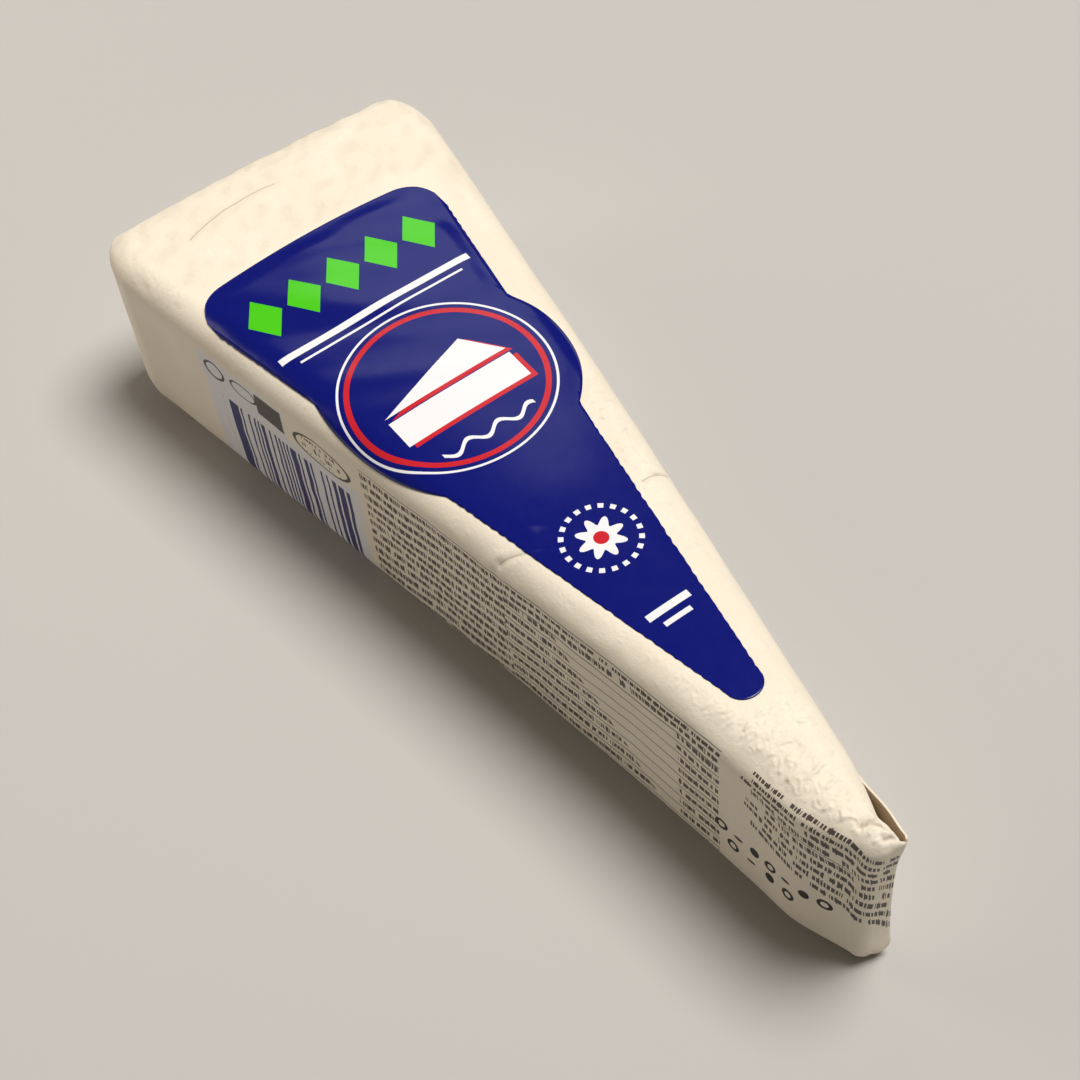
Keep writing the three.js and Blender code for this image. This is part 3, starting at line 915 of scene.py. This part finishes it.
def along_path(points, share):
    """A point on the smooth curve through the points."""
    place = share * (len(points) - 1)
    first = min(int(place), len(points) - 2)
    t = place - first
    a, b = points[first], points[first + 1]
    before = points[max(first - 1, 0)]
    after = points[min(first + 2, len(points) - 1)]
    slope_a, slope_b = (b - before) / 2, (after - a) / 2
    return (
        a * (2 * t**3 - 3 * t**2 + 1)
        + slope_a * (t**3 - 2 * t**2 + t)
        + b * (3 * t**2 - 2 * t**3)
        + slope_b * (t**3 - t**2)
    )


def divided_sheet(along, across):
    made = bmesh.new()
    bmesh.ops.create_grid(made, x_segments=along, y_segments=across, size=0.5)
    return made


def thicken(piece, thickness, offset):
    solid = piece.modifiers.new("thickness", "SOLIDIFY")
    solid.thickness = thickness * MM
    solid.offset = offset
    crisp = piece.modifiers.new("crisp rim", "WEIGHTED_NORMAL")
    crisp.weight = 100
    return solid


# The inside of the sheet is a light brown waxed lining.
LINING = (0.58, 0.45, 0.32, 1)
LINING_DARK = (0.42, 0.31, 0.20, 1)


def lining_material():
    made, tree = new_material("waxed lining")
    _, grain = paper_grain(tree)
    colour = tinted(tree, cloud(tree, object_place(tree), scale=150.0, detail=3.0), LINING_DARK, LINING)
    paper_surface(tree, colour, grain)
    return made


flap = divided_sheet(*FLAP_GRID)
for corner in flap.verts:
    share, rise = corner.co.x + 0.5, corner.co.y + 0.5
    point = along_path(FLAP_PATH, share)
    top = blend(FLAP_REAR_TOP, FLAP_TIP_TOP, ease(*FLAP_RISE, point.x))
    point.z = blend(FLAP_BASE, top + FLAP_TOP_WAVE * math.sin(FLAP_TOP_WAVES * share), rise)
    point.x -= tip_pinch(point.x - RIND_X, point.z)
    point.y += uneven(point, FLAP_WAVES) * ease(*FLAP_LOOSE, share) * (1 - ease(*FLAP_HELD, share))
    corner.co = point
bmesh.ops.reverse_faces(flap, faces=flap.faces)
plain_paper = plain_paper_material()
tip_flap = finish_piece(flap, "tip_flap", plain_paper)
tip_flap.data.materials.append(lining_material())
flap_solid = thicken(tip_flap, FLAP_THICKNESS, 0)
flap_solid.material_offset = 1  # its inside shows the lining

# Rind flap
# The paper turned down from the top over the rind end, on top of the two corner pleats. It is a sheet laid
# on the wrapping from behind, with free slanted sides.
RIND_FLAP_GRID = (80, 44)
RIND_FLAP_TOP, RIND_FLAP_BASE = 29.8, 4.6
RIND_FLAP_TOP_HALF, RIND_FLAP_BASE_HALF = 26.5, 14.5
RIND_FLAP_LIFT = 0.22
RIND_FLAP_SINK, RIND_FLAP_TURN = 0.3, 4  # it sinks into the wrapping at its top, over this height
SHEET_THICKNESS = 0.16
LAY_FROM = 60  # how far back each point starts from when a sheet is laid on the wrapping


def lay(made, towards, lift_at):
    """Moves each point of a sheet one way till it lies on the wrapping, with a lift of its own."""
    for corner in made.verts:
        lift = lift_at(corner.co)
        hit, normal, _, _ = paper_skin.ray_cast(corner.co - LAY_FROM * towards, towards)
        corner.co = hit + lift * normal


def rind_flap_lift(at):
    return RIND_FLAP_LIFT - RIND_FLAP_SINK * ease(RIND_FLAP_TOP - RIND_FLAP_TURN, RIND_FLAP_TOP, at.z)


rind_flap_mesh = divided_sheet(*RIND_FLAP_GRID)
for corner in rind_flap_mesh.verts:
    rise = corner.co.y + 0.5
    half = blend(RIND_FLAP_BASE_HALF, RIND_FLAP_TOP_HALF, rise)
    corner.co = Vector((RIND_X, 2 * half * corner.co.x, blend(RIND_FLAP_BASE, RIND_FLAP_TOP, rise)))
lay(rind_flap_mesh, Vector((1, 0, 0)), rind_flap_lift)
bmesh.ops.reverse_faces(rind_flap_mesh, faces=rind_flap_mesh.faces)
rind_flap = finish_piece(rind_flap_mesh, "rind_flap", plain_paper)
thicken(rind_flap, SHEET_THICKNESS, 1)

# Base lap
# The two long edges of the sheet, lapped and sealed under the base. It is the flat panel that the pack
# rests on, a plain sheet of the same paper.
LAP_GRID = (90, 30)
LAP_REAR, LAP_FRONT = -63.5, 44.0
LAP_REAR_HALF, LAP_FRONT_HALF = 20, 4.5
LAP_LEVEL = 0.04

lap = divided_sheet(*LAP_GRID)
for corner in lap.verts:
    share = corner.co.x + 0.5
    half = blend(LAP_REAR_HALF, LAP_FRONT_HALF, share)
    corner.co = Vector((blend(LAP_REAR, LAP_FRONT, share), 2 * half * corner.co.y, LAP_LEVEL))
bmesh.ops.reverse_faces(lap, faces=lap.faces)
base_lap = finish_piece(lap, "base_lap", plain_paper)
thicken(base_lap, SHEET_THICKNESS, -1)

# Top label
# A printed gloss film stuck on the top face, bent over the rounded near edge, with fine nicks along its cut
# sides. It is a sheet with the label's outline, laid on the wrapping from above.
LABEL_GRID = (420, 64)
LABEL_THICKNESS = 0.08
LABEL_CORNER = 7.5
LABEL_CORNER_SHARE = 0.3
NICK_PITCH, NICK_DEPTH = 1.7, 0.08
NICK_DRIFT, NICK_DRIFT_LENGTH = 3, 9  # how far their places wander, and over what length
NICK_MEAN, NICK_PATCH, NICK_SEED = 0.6, 4, 1.7  # they are deeper and shallower in patches
NICK_START = 0.97  # share of the half width, past which the film is nicked
NICK_CLEAR = MEDALLION_RADIUS - 2  # the medallion's own edge has none


def nick_at(along, across):
    drift = NICK_DRIFT * math.sin(along / NICK_DRIFT_LENGTH)
    nick = math.sin(2 * math.pi * along / NICK_PITCH + drift)
    patch = noise.noise(Vector((along / NICK_PATCH, across, NICK_SEED)))
    return NICK_DEPTH * (1 + nick) * (NICK_MEAN + patch)


def on_label(share, across):
    """A place on the flat label: share runs from rear to tip, across from -1 to 1."""
    rounded = ramp(1 - LABEL_CORNER_SHARE, 1, abs(across))
    rear = LABEL_REAR + LABEL_REAR_ARC * across**2 + LABEL_CORNER * (1 - math.sqrt(1 - rounded**2))
    tip = LABEL_TIP_END - LABEL_TIP_RADIUS * (1 - math.sqrt(1 - across**2))
    along = blend(rear, tip, share)
    half = max(label_half(along, across), LABEL_TIP_RADIUS)
    if abs(across) > NICK_START and abs(along - MEDALLION.x) > NICK_CLEAR:
        half -= nick_at(along, across)
    return along, half * across


def label_point(along, across):
    """That place seen from above, with the film bent down over the rounded near edge."""
    turned = Matrix.Rotation(LABEL_ASKEW, 2) @ Vector((along, across)) + LABEL_ORIGIN
    distance = turned.x - RIND_X
    half = half_width(distance)
    radius = side_radius(half)
    edge = (half - radius) * (1 + near_bulge(distance) / half)
    over = -turned.y - edge
    y = -edge - radius * math.sin(over / radius) if over > 0 else turned.y
    return Vector((turned.x, y, 0))


FILM_LIFT = 0.06
FILM_STUCK = 4  # the film lies closest within this distance of its edge
FILM_RISE, FILM_WAVES = 0.04, ((0.04, 9, 2.4),)
RIPPLE_TURN, RIPPLE_LENGTH, RIPPLE_WIDTH, RIPPLE_SEED = -1.06, 20, 5, 4.2
RIPPLE_HEIGHT = 0.24
RIPPLE_FADE = (-45, 0)  # along the pack
CRUMPLE_PLACE, CRUMPLE_REACH = (15.5, -8.3), (4, 2.2)
CRUMPLE_LUMPS = ((0.24, 3, 6.6),)


def film_lift(at):
    """The film follows the paper, with long ripples near the wide end and a crumple by the notch."""
    along, across = label_place(at.x, at.y)
    margin = label_half(along, across) - abs(across)
    stuck = ease(0, FILM_STUCK, min(margin, along - LABEL_REAR))
    turned = Matrix.Rotation(RIPPLE_TURN, 3, "Z") @ at
    ripple = noise.noise(Vector((turned.x / RIPPLE_LENGTH, turned.y / RIPPLE_WIDTH, RIPPLE_SEED)))
    ripple = RIPPLE_HEIGHT * (1 - ease(*RIPPLE_FADE, at.x)) * (1 + ripple)
    lift = FILM_LIFT + stuck * (ripple + FILM_RISE + uneven(at, FILM_WAVES))
    off_x, off_y = ((at[axis] - CRUMPLE_PLACE[axis]) / CRUMPLE_REACH[axis] for axis in range(2))
    return lift + hump(off_x) * hump(off_y) * abs(uneven(at, CRUMPLE_LUMPS))


label = divided_sheet(*LABEL_GRID)
label_place_layer = label.verts.layers.float_vector.new("place on label")
for corner in label.verts:
    along, across = on_label(corner.co.x + 0.5, between(-1, 2 * corner.co.y, 1))
    corner[label_place_layer] = (along, across, 0)
    corner.co = label_point(along, across)
lay(label, Vector((0, 0, -1)), film_lift)

# The print follows the film: it stands upright towards the wide end, with its places in millimetres
# across to the far side and up from the middle of the label.
LABEL_BLUE = (0.005, 0.009, 0.172, 1)
LABEL_BLUE_DEEP = (0.004, 0.0075, 0.158, 1)
LABEL_GREEN = (0.075, 0.6, 0.012, 1)
LABEL_RED = (0.6, 0.02, 0.03, 1)
LABEL_WHITE = (0.88, 0.88, 0.9, 1)
SCUFF_RANGE, FILM_ROUGHNESS = (0.3, 0.75), (0.14, 0.2)
LOZENGE_LEVEL, LOZENGE_PITCH, LOZENGE_HALF = 46.5, 7.2, (3.1, 4.6)
LABEL_BARS = (  # level, half length and half height
    (37.2, 17.5, 0.65),
    (35.2, 15.0, 0.22),
    (-35.6, 3.6, 0.62),
    (-37.8, 2.3, 0.42),
)
MEDALLION_MIDDLE, MEDALLION_LEVEL = MEDALLION.y, -MEDALLION.x
RED_RING, WHITE_RING = (15.2, 0.45), (16.6, 0.2)  # radius and half line
RED_EDGE = (0.8, -0.8)  # the red copy of the wedge shows beside and below the white one
WEDGE_HALF = 11
SLAB_LEVEL, SLAB_HALF = -3.4, 2.8
ROOF_LEVEL, ROOF_HALF = 3.6, 3.2
ROOF_SLOPES = ((-0.354, 4.3), (1.378, 15.56))  # slope across, and level where it crosses the middle
WAVE_LEVEL, WAVE_HALF, WAVE_RATE, WAVE_SWELL, WAVE_LINE = 5.6, (8.2, 3), 1.15, 0.8, 0.38
ROSETTE_LEVEL = -20.5
PETALS, PETAL_MIDDLE, PETAL_SWING = 8, 3.0, 0.75
ROSETTE_EYE = 1.15
BEAD_RING, BEADS, BEAD_GAP = (5.7, 0.4), 20, 0.1


def bar(tree, across, up, middle, level, half_length, half_height):
    ends = (middle - half_length, middle + half_length, level - half_height, level + half_height)
    return field(tree, across, up, *ends)


def ring(tree, across, up, middle, level, radius, line):
    return oval(tree, across, up, middle, level, radius, radius, line)["Ring"]


def wedge_mark(tree, across, up, off_middle=0, off_level=0):
    """A cheese wedge seen from its side: a slab with a triangle above it."""
    middle, level = MEDALLION_MIDDLE + off_middle, MEDALLION_LEVEL + off_level
    slab = bar(tree, across, up, middle, level + SLAB_LEVEL, WEDGE_HALF, SLAB_HALF)
    roof = [bar(tree, across, up, middle, level + ROOF_LEVEL, WEDGE_HALF, ROOF_HALF)]
    for slope, crossing in ROOF_SLOPES:
        line = reckon(tree, "MULTIPLY_ADD", across, slope, up)
        roof.append(reckon(tree, "LESS_THAN", line, level + crossing + slope * middle))
    return most_of(tree, slab, all_of(tree, *roof))


def lozenge(tree, across, up, middle):
    half_length, half_height = LOZENGE_HALF
    off_across = reckon(tree, "DIVIDE", off(tree, across, middle), half_length)
    off_up = reckon(tree, "DIVIDE", off(tree, up, LOZENGE_LEVEL), half_height)
    return reckon(tree, "LESS_THAN", reckon(tree, "ADD", off_across, off_up), 1)


def wave_mark(tree, across, up):
    swing = reckon(tree, "SINE", reckon(tree, "MULTIPLY", across, WAVE_RATE))
    middle = reckon(tree, "MULTIPLY_ADD", swing, WAVE_SWELL, WAVE_LEVEL)
    on_line = reckon(tree, "LESS_THAN", off(tree, up, middle), WAVE_LINE)
    return all_of(tree, on_line, bar(tree, across, up, MEDALLION_MIDDLE, WAVE_LEVEL, *WAVE_HALF))


def rosette(tree, across, up):
    """The petals, the beads in a ring round them, and the eye."""
    above = reckon(tree, "SUBTRACT", up, ROSETTE_LEVEL)
    out = reach_of(tree, across, above)
    turn = reckon(tree, "ARCTAN2", above, across)
    petal_swing = reckon(tree, "COSINE", reckon(tree, "MULTIPLY", turn, PETALS))
    petal_reach = reckon(tree, "MULTIPLY_ADD", petal_swing, PETAL_SWING, PETAL_MIDDLE)
    petals = reckon(tree, "LESS_THAN", out, petal_reach)
    bead_swing = reckon(tree, "COSINE", reckon(tree, "MULTIPLY", turn, BEADS))
    on_ring = ring(tree, across, up, 0, ROSETTE_LEVEL, *BEAD_RING)
    beads = all_of(tree, on_ring, reckon(tree, "GREATER_THAN", bead_swing, BEAD_GAP))
    return petals, beads, reckon(tree, "LESS_THAN", out, ROSETTE_EYE)


def label_material():
    made, tree = new_material("printed gloss film")
    place = attribute(tree, "place on label", "Vector")
    split = split_up(tree, place)
    across, up = split["Y"], reckon(tree, "MULTIPLY", split["X"], -1)
    colour = tinted(tree, cloud(tree, place, scale=0.03, detail=1.0), LABEL_BLUE_DEEP, LABEL_BLUE)
    greens = [lozenge(tree, across, up, LOZENGE_PITCH * step) for step in (-2, -1, 0, 1, 2)]
    colour = tinted(tree, most_of(tree, *greens), colour, LABEL_GREEN)
    at_medallion = (tree, across, up, MEDALLION_MIDDLE, MEDALLION_LEVEL)
    red_ring, white_ring = (ring(*at_medallion, *sizes) for sizes in (RED_RING, WHITE_RING))
    red_wedge = wedge_mark(tree, across, up, *RED_EDGE)
    colour = tinted(tree, most_of(tree, red_ring, red_wedge), colour, LABEL_RED)
    petals, beads, eye = rosette(tree, across, up)
    whites = [bar(tree, across, up, 0, *sizes) for sizes in LABEL_BARS]
    whites += [white_ring, wedge_mark(tree, across, up), wave_mark(tree, across, up), petals, beads]
    colour = tinted(tree, most_of(tree, *whites), colour, LABEL_WHITE)
    colour = tinted(tree, eye, colour, LABEL_RED)

    scuff = cloud(tree, place, scale=0.35, detail=4.0)
    roughness = ranged(tree, scuff, *SCUFF_RANGE, *FILM_ROUGHNESS)
    bump = bumped(tree, cloud(tree, place, scale=1.4, detail=3.0), strength=0.03, distance=0.0002)
    finish = {"Base Color": colour, "Roughness": roughness, "Specular IOR Level": 0.38, "Normal": bump}
    finish_surface(tree, finish)
    return made


top_label = finish_piece(label, "label_film", label_material())
thicken(top_label, LABEL_THICKNESS, 1)
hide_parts("top_label")

# Studio
# A plain pale floor under the pack, one soft lamp high above the far side, one weak lamp that grazes the
# film, one low warm lamp for the near side, and a faint warm surround.
FLOOR_SIZE = 6.0
FLOOR_PALE, FLOOR_PALER = (0.515, 0.5, 0.48, 1), (0.54, 0.525, 0.505, 1)
SURROUND_COLOUR, SURROUND_STRENGTH = (1.0, 0.86, 0.73, 1), 0.05


def floor_material():
    made, tree = new_material("pale floor")
    colour = tinted(tree, cloud(tree, object_place(tree), scale=3.0, detail=2.0), FLOOR_PALE, FLOOR_PALER)
    finish_surface(tree, {"Base Color": colour, "Roughness": 0.8, "Specular IOR Level": 0.1})
    return made


floor_grid = bmesh.new()
bmesh.ops.create_grid(floor_grid, x_segments=2, y_segments=2, size=FLOOR_SIZE / 2)
floor_mesh = bpy.data.meshes.new("floor")
floor_grid.to_mesh(floor_mesh)
floor_grid.free()
floor_mesh.materials.append(floor_material())
floor = bpy.data.objects.new("floor", floor_mesh)
bpy.context.scene.collection.objects.link(floor)


def lamp(name, place, size, power, colour):
    light = bpy.data.lights.new(name, "AREA")
    light.shape = "DISK"
    light.size = size
    light.energy = power
    light.color = colour
    made = bpy.data.objects.new(name, light)
    made.location = place
    made.rotation_euler = (-Vector(place)).to_track_quat("-Z", "Y").to_euler()
    bpy.context.scene.collection.objects.link(made)


lamp("soft lamp", place=(0.175, 0.65, 1.95), size=1.05, power=47.0, colour=(1.0, 0.97, 0.93))
lamp("sheen", place=(-0.60, 0.33, 0.62), size=0.3, power=0.28, colour=(0.97, 0.98, 1.0))
lamp("low lamp", place=(-0.36, -0.25, 0.22), size=0.24, power=0.46, colour=(1.0, 0.89, 0.77))
surround = bpy.data.worlds.new("surround")
surround.use_nodes = True
background = surround.node_tree.nodes["Background"]
background.inputs["Color"].default_value = SURROUND_COLOUR
background.inputs["Strength"].default_value = SURROUND_STRENGTH
bpy.context.scene.world = surround
bpy.context.scene.view_settings.view_transform = "Standard"

# Camera
# It looks down on the top and the printed near side from about a third of a metre, turned, tilted and
# rolled as the photograph was taken.
CAMERA_TURN, CAMERA_RISE, CAMERA_ROLL = (math.radians(angle) for angle in (61.13, 52.61, -7.43))
CAMERA_DISTANCE = 318.8
CAMERA_AIM = Vector((RIND_X + LENGTH / 2, 0, 17))
CAMERA_SLIDE = Vector((1.06, -3.11, 0))
FOCAL_LENGTH, SENSOR = 70, 36

back = Vector(
    (
        math.sin(CAMERA_TURN) * math.cos(CAMERA_RISE),
        -math.cos(CAMERA_TURN) * math.cos(CAMERA_RISE),
        math.sin(CAMERA_RISE),
    )
)
level_right = Vector((0, 0, 1)).cross(back).normalized()
level_axes = Matrix((level_right, back.cross(level_right), back)).transposed()
camera_axes = level_axes @ Matrix.Rotation(CAMERA_ROLL, 3, "Z")
camera_data = bpy.data.cameras.new("camera")
camera_data.lens = FOCAL_LENGTH
camera_data.sensor_width = SENSOR
camera = bpy.data.objects.new("camera", camera_data)
camera_place = CAMERA_AIM + CAMERA_DISTANCE * back + camera_axes @ CAMERA_SLIDE
camera.matrix_world = Matrix.Translation(camera_place * MM) @ camera_axes.to_4x4()
bpy.context.scene.collection.objects.link(camera)
bpy.context.scene.camera = camera
